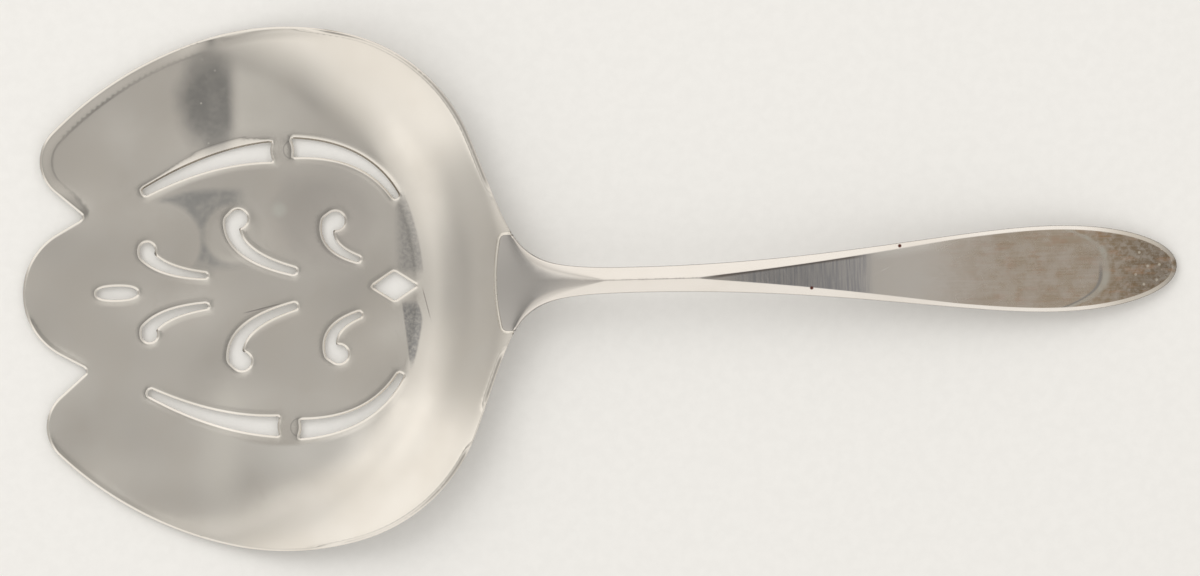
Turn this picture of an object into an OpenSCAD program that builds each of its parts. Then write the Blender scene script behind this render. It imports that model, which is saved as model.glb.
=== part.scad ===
// Bonbon spoon: a pierced and lobed bowl struck from sheet silver, soldered onto a forged handle.
// X runs from the front lip to the tip of the handle, Z is up, and both sides of Y = 0 are the same.
// The origin lies under the middle of the pierced pattern, on the plane the bowl rests on. Millimetres.

/* [Bowl] */
// Thickness of the struck sheet
sheet_t = 0.9; // [0.7:0.05:1.1]
// Radius of the flat floor about the centre of the dish
floor_r = 29.8; // [29:0.1:30.5]
// How far the centre of the dish lies in front of the pattern's middle
dish_front = 11; // [10:0.1:12]
// Angle at which the wall leaves the floor
wall_angle = 8; // [6:0.5:11]
// Radius of the wall's hollow curve
wall_r = 20; // [19:0.5:24]
// Radius at which the wall ends in a lip
lip_r = 39.8; // [39.5:0.1:40]
// Slope of the lip
lip_angle = 15; // [12:1:18]

/* [Rim] */
// Distance from the pattern's middle to the front lip
front_reach = 29; // [28.5:0.1:29.5]
// Radius of the middle lobe
middle_lobe_r = 8.45; // [8:0.05:8.8]
// Angle on the middle lobe where its edge turns straight towards the notch
middle_lobe_end = 119; // [115:1:124]
// Radius at the bottom of each notch
notch_r = 0.4; // [0.2:0.05:0.6]
// Angle on the side lobe where its edge turns straight towards the notch
side_lobe_end = 229; // [225:1:233]
// Radius of the side lobe's corner
side_lobe_r = 4.85; // [4.5:0.05:5.2]
// Angle at which the side lobe's corner passes into the flank
flank_from = 134.5; // [133:0.5:136]
// Radius of the flank
flank_r = 44; // [43:0.5:45]
// Angle at which the flank passes into the widest curve
crown_from = 104.5; // [103:0.5:106]
// Radius of the rim where the bowl is widest
crown_r = 32.6; // [32:0.1:33]
// Distance of the widest curve's centre behind the pattern's middle
crown_x = 2.9; // [2.5:0.1:3.3]
// Distance of the widest curve's centre from the middle line, less than 0 when across it
crown_y = -0.8; // [-1.1:0.1:-0.5]
// Angle at which the widest curve passes into the shoulder
shoulder_from = 74.7; // [73:0.1:76]
// Radius of the shoulder beside the neck
shoulder_r = 21.2; // [21:0.1:21.6]
// Angle at which the shoulder passes into the neck
neck_from = 21; // [20:0.5:22]

/* [Neck seam] */
// Distance from the pattern's middle to the bowl's back edge
seam_x = 28.2; // [28:0.1:28.6]
// Radius of the shallow bow in which the back edge runs across the neck
seam_r = 27; // [20:0.5:34]
// Half the width of the seat that the back edge leaves for the handle
seat_half = 6.1; // [5.8:0.1:6.4]
// Corner radius of the seat
seat_r = 0.9; // [0.7:0.1:1.1]
// Width of the solder line between the bowl's back edge and the handle
seam_gap = 0.25; // [0.2:0.05:0.3]
// Thickness of the solder under the lap
solder_t = 0.12; // [0.1:0.01:0.2]
// Length of the handle's tongue under the bowl
tongue_len = 4.6; // [3.5:0.1:5]
// Half the width of the tongue at the seam
tongue_half = 4.3; // [3.5:0.1:5]
// Thickness of the tongue at its front
tongue_front_t = 0.3; // [0.2:0.05:0.5]
// Thickness of the tongue at the seam
tongue_back_t = 1.1; // [0.9:0.05:1.2]

/* [Long slots] */
// Width of the front slot at its tail
front_tail_w = 0.86; // [0.7:0.02:1.1]
// Width of the front slot by the bridge
front_head_w = 2.38; // [2.1:0.02:2.6]
// Width of the rear slot at its tail
rear_tail_w = 0.74; // [0.6:0.02:1]
// Width of the rear slot by the bridge
rear_head_w = 2.3; // [2:0.02:2.5]
// Radius of the bead on the bridge between the two slots
bead_r = 1.45; // [1.3:0.05:1.6]
// Width of the bridge
bridge_w = 2.3; // [2:0.05:2.5]

/* [Scrolls] */
// Width of the middle scroll at its tail
middle_tail_w = 0.76; // [0.6:0.02:1]
// Width of the middle scroll at its head
middle_head_w = 1.66; // [1.4:0.02:1.9]
// Width of the back scroll at its tail
back_tail_w = 0.64; // [0.5:0.02:0.8]
// Width of the back scroll at its head
back_head_w = 1.48; // [1.3:0.02:1.7]
// Width of the front scroll at its tail
fore_tail_w = 0.58; // [0.5:0.02:0.8]
// Width of the front scroll at its head
fore_head_w = 1.46; // [1.3:0.02:1.7]
// Radius of the round bulbs on the middle and the back scroll
bulb_r = 1.12; // [1:0.02:1.2]
// Radius of the front scroll's round bulb
fore_bulb_r = 0.92; // [0.8:0.02:1]

/* [Oval and diamond] */
// Oval, distance of its centre in front of the pattern's middle
oval_front = 17.6; // [17:0.1:18]
// Oval, half its length
oval_half_l = 2.5; // [2.2:0.05:2.8]
// Oval, half its width
oval_half_w = 0.78; // [0.6:0.02:1]
// Diamond, distance of its centre behind the pattern's middle
diamond_back = 16.1; // [15.8:0.1:16.4]
// Diamond, half its length
diamond_half_l = 2.72; // [2.4:0.02:3]
// Diamond, half its width
diamond_half_w = 1.78; // [1.5:0.02:2]

/* [Handle] */
// How strongly the shoulder's line carries on into the neck
neck_pull = 16.2; // [15:0.1:17]
// How strongly the stem's line carries on into the neck
stem_pull = 15.8; // [15:0.1:16.5]
// How strongly the stem's line carries on along the blade's edge
blade_start_pull = 23; // [20:0.5:26]
// How strongly the line of the widest place carries back along the blade's edge
blade_end_pull = 11; // [9:0.5:14]
// Distance from the pattern's middle to the handle's tip
tip_reach = 111; // [108:0.5:114]
// Where the stem is narrowest
stem_x = 46; // [45:0.5:47]
// Half the width of the stem there
stem_half = 1.56; // [1.4:0.02:1.8]
// Where the blade is widest
blade_x = 96; // [94:0.5:98]
// Half the width of the blade there
blade_half = 5.25; // [4.5:0.05:6]
// Slope of the handle's top where it leaves the bowl
neck_slope = 0.24; // [0.2:0.02:0.28]
// Where the handle's arch is highest
crest_x = 47; // [45:1:52]
// Height of the arch
crest_z = 7; // [6.8:0.1:8.5]
// Slope of the handle's top at its tip
tip_slope = -0.1; // [-0.12:0.01:-0.07]
// Thickness of the shoulder at the seam
shoulder_t = 2.7; // [2.6:0.05:2.9]
// Thickness of the stem
stem_t = 2.3; // [2.1:0.05:2.6]
// Thickness of the tip
tip_t = 1.15; // [1:0.05:1.4]
// Width of the bevel along the blade and the shoulder
edge_bevel = 0.5; // [0.35:0.05:0.6]
// Angle of the bevels
bevel_angle = 31; // [25:1:35]
// Height of the upright edge below the bevels
edge_h = 0.42; // [0.35:0.01:0.5]
// Where the bevel along the shoulder has grown to its own width
shoulder_x = 33; // [32:0.5:34]
// Where the bevel starts to widen further towards the ridge
widening_x = 31; // [30:0.5:32]
// Where the shoulder's flat has narrowed to a ridge
ridge_start = 42.5; // [41:0.5:44]
// Where the ridge opens into the blade's flat
ridge_end = 52; // [50:0.5:54]
// Where the blade's bevels have narrowed to their own width
flat_x = 74; // [70:0.5:78]

/* [Hidden] */
silver = [0.78, 0.76, 0.72];
solder_silver = [0.86, 0.84, 0.8];
// Longest run and widest turn of one straight piece of a curve
curve_step = 1;
turn_step = 7;
// Straight pieces along the neck, a pierced band, the blade, the tip, a rounded notch and the oval
neck_steps = 40;
band_steps = 14;
blade_steps = 22;
tip_steps = 15;
notch_steps = 4;
oval_steps = 36;
// Turns between the points of a band's end and of the tongue's rounded front
cap_turn = 18;
front_turn = 10;
// Columns across half of the handle's flat and across one bevel
flat_columns = 3;
bevel_columns = 2;
// Sides of the large and the small round shapes
round_fn = 240;
small_fn = 48;
// Where a column that cuts the sheet starts below the spoon, and its height
below_all = 1;
above_all = 12;
// Half of the slimmest flat left on the ridge of the stem
ridge_half = 0.05;
// Along the ridge the bevels are a little wider than the stem, so that the flat between them closes
ridge_bevel = 1.1 * stem_half;

// Drawing of the pierced bands on one side: the tail, the pull of the curve, and the head
front_slot = [[-13.98, 12.1], [-5.65, 16.5], [2, 16.65]];
rear_slot = [[16.62, 10.75], [12.85, 17.2], [3.35, 17.05]];
middle_scroll = [[4.1, 2.08], [-3.7, 4.15], [-3.4, 8.3]];
back_scroll = [[11.92, 3.3], [7.4, 4.85], [8.3, 7.95]];
fore_scroll = [[-6.66, 1.83], [-12.15, 2.35], [-13.95, 4.65]];
// Centres of the bead on the bridge and of the scrolls' bulbs
bead_at = [2.9, 16.75];
middle_bulb = [-2.65, 8.63];
back_bulb = [9.13, 8.08];
fore_bulb = [-13.77, 5.13];
// How far the blunt tail of a band bulges, as a share of half its width
tail_bulge = 0.3;
// Length of a bridge, right across the slots
bridge_len = 4 * bead_r;

// Centre of the wall's curve in the dish's section: distance from the dish's axis, and height
wall_at = [floor_r - wall_r * sin(wall_angle), sheet_t + wall_r * cos(wall_angle)];
// How far the floor's section runs on inside the wall's
floor_overlap = 0.03;
// The crest between the wall and the lip, the wall's slope there, and a lip long enough for every edge
crest_at = [lip_r, wall_at.y - sqrt(wall_r * wall_r - pow(lip_r - wall_at.x, 2))];
wall_end = asin((lip_r - wall_at.x) / wall_r);
lip_len = 4;
// How far the crest moves along the lip for each unit of depth below the upper face
lip_mitre = tan((wall_end - lip_angle) / 2);
// Centres of the seat's bow and of its rounded corner, and the angle where the bow passes into the corner
bow_at = [seam_x + seam_r, 0];
corner_at = [bow_at.x - sqrt(pow(seam_r - seat_r, 2) - pow(seat_half - seat_r, 2)), seat_half - seat_r];
corner_a = 180 - asin(corner_at.y / (seam_r - seat_r));
// The handle's end stands off the bowl's back edge by the solder line
handle_x = seam_x + seam_gap;
handle_half = seat_half - seam_gap;
// Where the seat ends behind the seam, and where the bowl's outline closes inside it
seat_end = seam_x + 5;
neck_end = seam_x + 3.7;
// Centres of the rim's arcs, each touching the next one from inside
crown_at = [crown_x, crown_y];
shoulder_at = crown_at + (crown_r - shoulder_r) * heading(shoulder_from);
flank_at = crown_at - (flank_r - crown_r) * heading(crown_from);
side_lobe_at = flank_at + (flank_r - side_lobe_r) * heading(flank_from);
middle_lobe_at = [middle_lobe_r - front_reach, 0];
// Control points of the neck's edge, from the bowl's shoulder to the narrowest stem
neck_start = shoulder_at + shoulder_r * heading(neck_from);
neck_line = [
    neck_start,
    neck_start + neck_pull * heading(neck_from - 90),
    [stem_x - stem_pull, stem_half],
    [stem_x, stem_half]
];
// Control points of the blade's edge, from the stem to the widest place
blade_line = [
    [stem_x, stem_half],
    [stem_x + blade_start_pull, stem_half],
    [blade_x - blade_end_pull, blade_half],
    [blade_x, blade_half]
];
// How far the tongue runs on inside the handle
tongue_root = 1;
// The tongue's upper face follows the bowl, and its back is a curve of its own about a centre further back
tongue_front = handle_x - tongue_len;
tongue_top_r = wall_r + sheet_t + solder_t;
tongue_reach = [for (x = [tongue_front, handle_x]) (x + dish_front - wall_at.x) / tongue_top_r];
tongue_shift = (tongue_back_t - tongue_front_t) / (tongue_reach[1] - tongue_reach[0]);
tongue_back_r = tongue_top_r + tongue_back_t - tongue_shift * tongue_reach[1];
// Roundness of the handle's tip: 2 is an ellipse
tip_power = 2.1;
// How far round the tip the sections go
tip_end_angle = 89;
// Roundness of the oval: 2 is an ellipse
oval_power = 2.4;
// Height of the handle's top at the seam
neck_z = dish_top(seam_x, 0);

function heading(a) = [cos(a), sin(a)];
function mix(a, b, t) = a + (b - a) * t;
function part_of(x, from, to) = min(1, max(0, (x - from) / (to - from)));
function ease(t) = t * t * (3 - 2 * t);
function mirrored(points) = [for (i = [len(points) - 1:-1:0]) [points[i].x, -points[i].y]];

// A point on the curve with control points p, and the curve's left-hand normal there
function curve(p, t) =
    len(p) == 1 ? p[0] : curve([for (i = [0:len(p) - 2]) mix(p[i], p[i + 1], t)], t);
function curve_normal(p, t) =
    let (d = curve([for (i = [0:len(p) - 2]) p[i + 1] - p[i]], t))
    [-d.y, d.x] / norm(d);

// A value that leaves a with slope sa and reaches b with slope sb over the span
function sweep(a, sa, b, sb, span, t) =
    a * (1 - ease(t)) + b * ease(t) + span * t * (1 - t) * (sa * (1 - t) - sb * t);

// Points along an arc about c
function arc(c, r, from, to) =
    let (turn = abs(to - from), steps = ceil(max(turn / turn_step, turn * r * PI / 180 / curve_step)))
    [for (i = [0:steps]) c + r * heading(mix(from, to, i / steps))];

// The place where a line through a towards da meets a line through b towards db
function meeting(a, da, b, db) =
    let (e = b - a) a + da * (e.x * db.y - e.y * db.x) / (da.x * db.y - da.y * db.x);

// Points round a corner at v that is reached from a and left towards b
function rounded(a, v, b, r) =
    let (
        ua = (a - v) / norm(a - v),
        ub = (b - v) / norm(b - v),
        half = acos(ua * ub) / 2,
        mid = (ua + ub) / norm(ua + ub),
        c = v + mid * r / sin(half)
    )
    [for (i = [0:notch_steps])
        let (d = mix(ua, ub, i / notch_steps) * r / tan(half) + v - c)
        c + r * d / norm(d)];

// Height of the dish's upper face
function dish_top(x, y) =
    let (r = norm([x + dish_front, y]))
    r < floor_r ? sheet_t
        : r < lip_r ? wall_at.y - sqrt(wall_r * wall_r - pow(r - wall_at.x, 2))
        : crest_at.y + (r - lip_r) * tan(lip_angle);

// Section of a layer of the dish that lies between two depths below its upper face: floor, wall and lip
module dish_layer(from, to) {
    translate([0, sheet_t - to])
        square([floor_r + floor_overlap, to - from]);
    intersection() {
        difference() {
            translate(wall_at) circle(wall_r + to);
            translate(wall_at) circle(wall_r + from);
        }
        translate([wall_at.x, sheet_t - to])
            square([lip_r - wall_at.x + lip_len, wall_r]);
        translate(crest_at)
            rotate(lip_angle)
                translate([-wall_r, -wall_r - from])
                    square([wall_r + lip_len, wall_r]);
    }
    translate(crest_at)
        rotate(lip_angle)
            translate([(from + to) / 2 * lip_mitre, -to])
                square([lip_len, to - from]);
}

module dish(from, to) {
    translate([-dish_front, 0, 0])
        rotate_extrude($fn = round_fn)
            dish_layer(from, to, $fn = round_fn);
}

// Points along the neck's edge
function neck_edge() = [for (i = [1:neck_steps - 1]) curve(neck_line, i / neck_steps)];

// Half of the bowl's outline, from the front lip round the lobes to the neck
function bowl_edge() =
    let (
        lobe = arc(middle_lobe_at, middle_lobe_r, 180, middle_lobe_end),
        corner = arc(side_lobe_at, side_lobe_r, side_lobe_end, flank_from),
        lobe_tail = lobe[len(lobe) - 1],
        notch = meeting(lobe_tail, heading(middle_lobe_end - 90), corner[0], heading(side_lobe_end + 90))
    )
    concat(
        lobe,
        rounded(lobe_tail, notch, corner[0], notch_r),
        corner,
        arc(flank_at, flank_r, flank_from, crown_from),
        arc(crown_at, crown_r, crown_from, shoulder_from),
        arc(shoulder_at, shoulder_r, shoulder_from, neck_from),
        [for (p = neck_edge()) if (p.x < neck_end) p]
    );

// Half of the seat's front edge, or of the same edge drawn in by a margin, from the middle to its corner
function seat_edge(margin) =
    let (bow = arc(bow_at, seam_r - margin, 180, corner_a))
    concat(
        [for (i = [0:len(bow) - 2]) bow[i]],
        arc(corner_at, seat_r - margin, corner_a, 90)
    );

// Seat of the handle in the bowl's back edge, or the same shape drawn in by a margin
module seat(margin) {
    half = seat_half - margin;
    edge = seat_edge(margin);
    polygon(concat(
        [[seat_end, -half]],
        [for (p = mirrored(edge)) if (p.y < 0) p],
        edge,
        [[seat_end, half]]
    ));
}

// A band along a curved line, wider at its head than at its tail, with a blunt tail
module tapered_band(line, width, round_head) {
    side = [for (i = [0:band_steps])
        let (t = i / band_steps)
        [curve(line, t), curve_normal(line, t) * mix(width[0], width[1], t) / 2]];
    tail = side[0][1];
    head_a = atan2(side[band_steps][1].y, side[band_steps][1].x);
    cap = [cap_turn:cap_turn:180 - cap_turn];
    polygon(concat(
        [for (s = side) s[0] + s[1]],
        round_head ? [for (a = cap) line[2] + width[1] / 2 * heading(head_a - a)] : [],
        [for (i = [band_steps:-1:0]) side[i][0] - side[i][1]],
        [for (a = cap) line[0] - tail * cos(a) + tail_bulge * sin(a) * [-tail.y, tail.x]]
    ));
}

// A band with a bulb on its head, and a circle between them that fills the corner where they meet
module scroll(line, width, bulb, r) {
    tapered_band(line, width, true);
    translate(bulb) circle(r, $fn = small_fn);
    translate((line[2] + bulb) / 2) circle((width[1] / 2 + r) / 2, $fn = small_fn);
}

// The piercings on one side of the middle line
module side_piercing() {
    difference() {
        union() {
            tapered_band(front_slot, [front_tail_w, front_head_w], false);
            tapered_band(rear_slot, [rear_tail_w, rear_head_w], false);
        }
        translate(bead_at) square([bridge_w, bridge_len], center = true);
        translate(bead_at) circle(bead_r, $fn = small_fn);
    }
    scroll(middle_scroll, [middle_tail_w, middle_head_w], middle_bulb, bulb_r);
    scroll(back_scroll, [back_tail_w, back_head_w], back_bulb, bulb_r);
    scroll(fore_scroll, [fore_tail_w, fore_head_w], fore_bulb, fore_bulb_r);
}

// The piercings on the middle line
module middle_piercing() {
    translate([-oval_front, 0])
        polygon([for (i = [0:oval_steps - 1])
            let (d = heading(360 * i / oval_steps))
            [sign(d.x) * oval_half_l * pow(abs(d.x), 2 / oval_power),
             sign(d.y) * oval_half_w * pow(abs(d.y), 2 / oval_power)]]);
    translate([diamond_back, 0])
        polygon([[-diamond_half_l, 0], [0, diamond_half_w], [diamond_half_l, 0], [0, -diamond_half_w]]);
}

module bowl_outline() {
    edge = bowl_edge();
    polygon(concat(edge, [for (p = mirrored(edge)) if (p.y < 0) p]));
}

module bowl_plan() {
    difference() {
        bowl_outline();
        seat(0);
        side_piercing();
        mirror([0, 1]) side_piercing();
        middle_piercing();
    }
}

// The pierced sheet: a flat floor whose wall rises at the sides and highest at the back
module bowl() {
    color(silver)
        intersection() {
            dish(0, sheet_t);
            translate([0, 0, -below_all])
                linear_extrude(above_all)
                    bowl_plan();
        }
}

// Stations along the handle, each a distance and a half width
function shoulder_stations() =
    [for (p = seat_edge(seam_gap)) if (p.y > ridge_half) p];
function neck_stations() =
    [for (p = neck_edge()) if (p.x > corner_at.x && p.y < handle_half) p];
function blade_stations() =
    [for (i = [0:blade_steps]) curve(blade_line, i / blade_steps)];
function tip_half(q) = pow(1 - pow(q, tip_power), 1 / tip_power);
function tip_stations() =
    [for (i = [1:tip_steps])
        let (q = sin(i * tip_end_angle / tip_steps))
        [mix(blade_x, tip_reach, q), blade_half * tip_half(q)]];

// Height of the handle's top along its middle, and its thickness there
function arch(x) =
    x < crest_x
        ? sweep(neck_z, neck_slope, crest_z, 0, crest_x - seam_x, part_of(x, seam_x, crest_x))
        : sweep(crest_z, 0, tip_t, tip_slope, tip_reach - crest_x, part_of(x, crest_x, tip_reach));
function thickness(x) =
    x < stem_x
        ? mix(shoulder_t, stem_t, ease(part_of(x, seam_x, stem_x)))
        : mix(stem_t, tip_t, ease(part_of(x, stem_x, tip_reach)));

// Width of the bevel: it grows from the seam to its own width, then to a ridge, and shrinks to the blade
function shoulder_bevel(x) = edge_bevel * ease(part_of(x, handle_x, shoulder_x));
function bevel(x) =
    x < ridge_start
        ? mix(shoulder_bevel(x), ridge_bevel, pow(part_of(x, widening_x, ridge_start), 2))
        : mix(ridge_bevel, edge_bevel, pow(part_of(x, ridge_end, flat_x), 2));

// Half the width of the flat between the bevels
function flat_half(x, half) =
    let (tip_q = part_of(x, blade_x, tip_reach - edge_bevel))
    max(ridge_half, x < blade_x ? half - bevel(x) : (blade_half - edge_bevel) * tip_half(tip_q));

// Upright columns of one section, from the middle to the edge: distance from the middle, back and top
function columns(x, half) =
    let (
        flat = min(flat_half(x, half), half - ridge_half),
        slope = tan(bevel_angle),
        saddle = 1 - ease(part_of(x, seam_x, ridge_start)),
        rise = function (y) saddle * (dish_top(seam_x, y) - neck_z),
        top = arch(x) - edge_bevel * slope * part_of(x, tip_reach - edge_bevel, tip_reach),
        edge = arch(x) + rise(flat) - slope * min(half - flat, bevel(x)),
        back = arch(x) - thickness(x),
        across = concat(
            [for (i = [0:flat_columns]) flat * i / flat_columns],
            [for (i = [1:bevel_columns]) mix(flat, half, i / bevel_columns)]
        )
    )
    [for (y = across)
        [
            y,
            mix(back, edge - edge_h, pow(y / half, 2)),
            y <= flat ? top + rise(y) : mix(top + rise(flat), edge, (y - flat) / (half - flat))
        ]];

// One section as a ring of points: its back from side to side, then its top the other way
function section(x, half) =
    let (
        near = columns(x, half),
        last = len(near) - 1,
        row = [for (i = [-last:last]) [sign(i), near[abs(i)]]]
    )
    concat(
        [for (c = row) [x, c[0] * c[1][0], c[1][1]]],
        [for (i = [2 * last:-1:0]) [x, row[i][0] * row[i][1][0], row[i][1][2]]]
    );

// The forged handle from the seam to its tip
module handle_blade() {
    stations = concat(shoulder_stations(), neck_stations(), blade_stations(), tip_stations());
    rings = [for (s = stations) section(s.x, s.y)];
    count = len(rings[0]);
    final = (len(rings) - 1) * count;
    cap = [0:count / 2 - 2];
    polyhedron(
        points = [for (ring = rings) each ring],
        faces = concat(
            [for (k = cap) [k, k + 1, count - 2 - k, count - 1 - k]],
            [for (s = [0:count:final - count], k = [0:count - 1])
                let (next = (k + 1) % count)
                each [[s + k, s + count + k, s + next], [s + next, s + count + k, s + count + next]]],
            [for (k = cap) final * [1, 1, 1, 1] + [k, count - 1 - k, count - 2 - k, k + 1]]
        )
    );
}

// Half an oval under the bowl, from its rounded front to a straight back
module tongue_plan(back) {
    near = [for (a = [0:front_turn:90]) [mix(back, tongue_front, cos(a)), tongue_half * sin(a)]];
    polygon(concat(near, [for (p = mirrored(near)) if (p.y < 0) p]));
}

// The tongue that laps under the bowl's back wall and lip, thin at its front
module tongue() {
    depth = sheet_t + solder_t;
    intersection() {
        translate([-dish_front, 0, 0])
            rotate_extrude($fn = round_fn)
                difference() {
                    intersection() {
                        translate(wall_at + [tongue_shift, 0]) circle(tongue_back_r, $fn = round_fn);
                        translate([wall_at.x, 0])
                            square([wall_r, wall_r]);
                    }
                    translate(wall_at) circle(tongue_top_r, $fn = round_fn);
                    translate(crest_at)
                        rotate(lip_angle)
                            translate([depth * lip_mitre, -depth])
                                square([lip_len, wall_r]);
                }
        translate([0, 0, -below_all])
            linear_extrude(above_all)
                tongue_plan(handle_x + tongue_root);
    }
}

// The handle: its top carries on from the bowl's upper face, and its tongue lies under the bowl
module handle() {
    color(silver) {
        handle_blade();
        tongue();
    }
}

// Silver solder: a film under the lap and the line that shows between the bowl's back edge and the handle
module solder_seam() {
    color(solder_silver) {
        intersection() {
            dish(sheet_t, sheet_t + solder_t);
            translate([0, 0, -below_all])
                linear_extrude(above_all)
                    difference() {
                        tongue_plan(handle_x + tongue_root);
                        seat(seam_gap);
                    }
        }
        intersection() {
            dish(0, sheet_t + solder_t);
            translate([0, 0, -below_all])
                linear_extrude(above_all)
                    intersection() {
                        bowl_outline();
                        difference() {
                            seat(0);
                            seat(seam_gap);
                        }
                    }
        }
    }
}

bowl();
handle();
solder_seam();
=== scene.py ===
import math

import bpy
import numpy as np
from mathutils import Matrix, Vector, geometry, kdtree

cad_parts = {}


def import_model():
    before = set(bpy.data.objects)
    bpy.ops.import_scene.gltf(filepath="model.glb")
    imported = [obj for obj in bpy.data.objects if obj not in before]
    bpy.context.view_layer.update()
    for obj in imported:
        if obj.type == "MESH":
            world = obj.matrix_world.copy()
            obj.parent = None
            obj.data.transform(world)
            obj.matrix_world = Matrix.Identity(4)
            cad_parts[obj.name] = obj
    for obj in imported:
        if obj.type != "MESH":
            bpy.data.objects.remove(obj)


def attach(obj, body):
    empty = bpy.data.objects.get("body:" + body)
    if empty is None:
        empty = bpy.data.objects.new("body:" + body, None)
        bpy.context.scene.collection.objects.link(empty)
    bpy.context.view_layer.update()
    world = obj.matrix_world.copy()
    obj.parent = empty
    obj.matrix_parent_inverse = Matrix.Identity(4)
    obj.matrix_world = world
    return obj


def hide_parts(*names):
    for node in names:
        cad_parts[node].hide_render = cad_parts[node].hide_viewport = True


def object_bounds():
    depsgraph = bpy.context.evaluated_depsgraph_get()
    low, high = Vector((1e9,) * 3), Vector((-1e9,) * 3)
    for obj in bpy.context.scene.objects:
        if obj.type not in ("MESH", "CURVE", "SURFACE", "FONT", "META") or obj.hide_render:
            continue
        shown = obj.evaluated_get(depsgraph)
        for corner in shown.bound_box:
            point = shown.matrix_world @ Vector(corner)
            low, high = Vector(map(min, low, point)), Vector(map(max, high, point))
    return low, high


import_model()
cad_low, cad_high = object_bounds()

# Lengths are millimetres and angles degrees where no comment says otherwise. Blender works in metres.
MM = 0.001

# The bowl's sizes, repeated from the part's source
SHEET_T = 0.9
FLOOR_R = 29.8
DISH_X = -11.0
WALL_ANGLE = 8.0
WALL_R = 20.0
LIP_R = 39.8
LIP_ANGLE = 15.0
FRONT_REACH = 29.0
MIDDLE_LOBE_R = 8.45
MIDDLE_LOBE_END = 119.0
NOTCH_R = 0.4
SIDE_LOBE_END = 229.0
SIDE_LOBE_R = 4.85
FLANK_FROM = 134.5
FLANK_R = 44.0
CROWN_FROM = 104.5
CROWN_R = 32.6
CROWN_AT = np.array([2.9, -0.8])
SHOULDER_FROM = 74.7
SHOULDER_R = 21.2
NECK_FROM = 21.0
SEAM_X = 28.2
SEAM_R = 27.0
SEAT_HALF = 6.1
SEAT_R = 0.9
SEAM_GAP = 0.25
SOLDER_T = 0.12
# Pierced bands: tail, pull and head of the curve, widths at tail and head, then the bulb's centre and radius
FRONT_SLOT = ([[-13.98, 12.1], [-5.65, 16.5], [2, 16.65]], (0.86, 2.38))
REAR_SLOT = ([[16.62, 10.75], [12.85, 17.2], [3.35, 17.05]], (0.74, 2.3))
SCROLLS = [
    ([[4.1, 2.08], [-3.7, 4.15], [-3.4, 8.3]], (0.76, 1.66), [-2.65, 8.63], 1.12),
    ([[11.92, 3.3], [7.4, 4.85], [8.3, 7.95]], (0.64, 1.48), [9.13, 8.08], 1.12),
    ([[-6.66, 1.83], [-12.15, 2.35], [-13.95, 4.65]], (0.58, 1.46), [-13.77, 5.13], 0.92),
]
TAIL_BULGE = 0.3
BEAD_AT = np.array([2.9, 16.75])
BRIDGE_W = 2.3
OVAL_X = -17.6
OVAL_HALF = (2.5, 0.78)
OVAL_POWER = 2.4
DIAMOND_X = 16.1
DIAMOND_HALF = (2.72, 1.78)

# The handle's sizes, repeated from the part's source
TONGUE_LEN = 4.6
TONGUE_HALF = 4.3
TONGUE_T = (0.3, 1.1)
TONGUE_ROOT = 1.0
NECK_PULL = 16.2
STEM_PULL = 15.8
BLADE_PULL = (23.0, 11.0)
TIP_REACH = 111.0
TIP_POWER = 2.1
STEM_X = 46.0
STEM_HALF = 1.56
BLADE_X = 96.0
BLADE_HALF = 5.25
NECK_SLOPE = 0.24
CREST_X = 47.0
CREST_Z = 7.0
TIP_SLOPE = -0.1
SHOULDER_T = 2.7
STEM_T = 2.3
TIP_T = 1.15
EDGE_BEVEL = 0.5
BEVEL_ANGLE = 31.0
EDGE_H = 0.42
SHOULDER_X = 33.0
WIDENING_X = 31.0
RIDGE_X = (42.5, 52.0)
RIDGE_HALF = 0.05
RIDGE_BEVEL = 1.1 * STEM_HALF

# Where the looks depart from the source: the beads are ovals, and the blade's bevels narrow differently
BEAD_HALF = (1.45, 2.0)
FLAT_X = 84.0
BEVEL_POWER = 0.65

# Width, slope and softness of the bowl's polished slant, then width and depth of the rounds and rolls
BOWL_TOP_CHAMFER = (0.24, 0.75, 0.03)
BOWL_UNDER_ROUND = (0.22, 0.14)
PIERCED_ROLL = (0.95, 0.045)
SIDE_ROLL = (1.6, 0.32)
HANDLE_TOP_ROUND = (0.14, 0.1)
HANDLE_UNDER_ROUND = (0.2, 0.16)
TONGUE_ROUND = (0.3, 0.2)
# The sheet's square edge along the back, as seen from above, and the burnished line outside it, which runs on
# along the shoulder: width, slope and softness
EDGE_W = 0.5
EDGE_SLOPE = 1.6
EDGE_SOFT = 0.09
BURNISH_W = 0.14
BURNISH_SLOPE = 0.9
BURNISH_SOFT = EDGE_SOFT / 4
BURNISH_END_X = (38.0, 33.0)
# Where the square edge starts above and below the middle, and where it is filed away
UPPER_EDGE_Y = (10.0, 13.0)
LOWER_EDGE_Y = (7.5, 9.5)
FILED_Y = ((13.5, 15.5), (21.0, 19.0))
# Where the rim is turned up at the front, rolled along the upper side, and square at the back
TURNED_X = (-4.0, -9.0)
ROLLED_X = ((-8.0, -2.0), (15.0, 8.0))
ROLLED_Y = (-10.0, 10.0)
SQUARE_X = (4.0, 10.0)
# The front lobes' turned-up rims: width, angle and softness of each fold, and where it is
UPPER_CURL = ((0.5, 1.45), 8.5, 0.14)
UPPER_CURL_WIDENS_Y = (8.5, 12.5)
UPPER_CURL_Y = (8.4, 10.4)
LOWER_CURL = (0.72, 5.5, 0.3)
LOWER_CURL_Y = (15.0, 20.0)
MIDDLE_CURL = (0.62, 7.0, 0.18)
MIDDLE_CURL_Y = ((1.5, 4.0), (9.0, 7.5))
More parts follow.
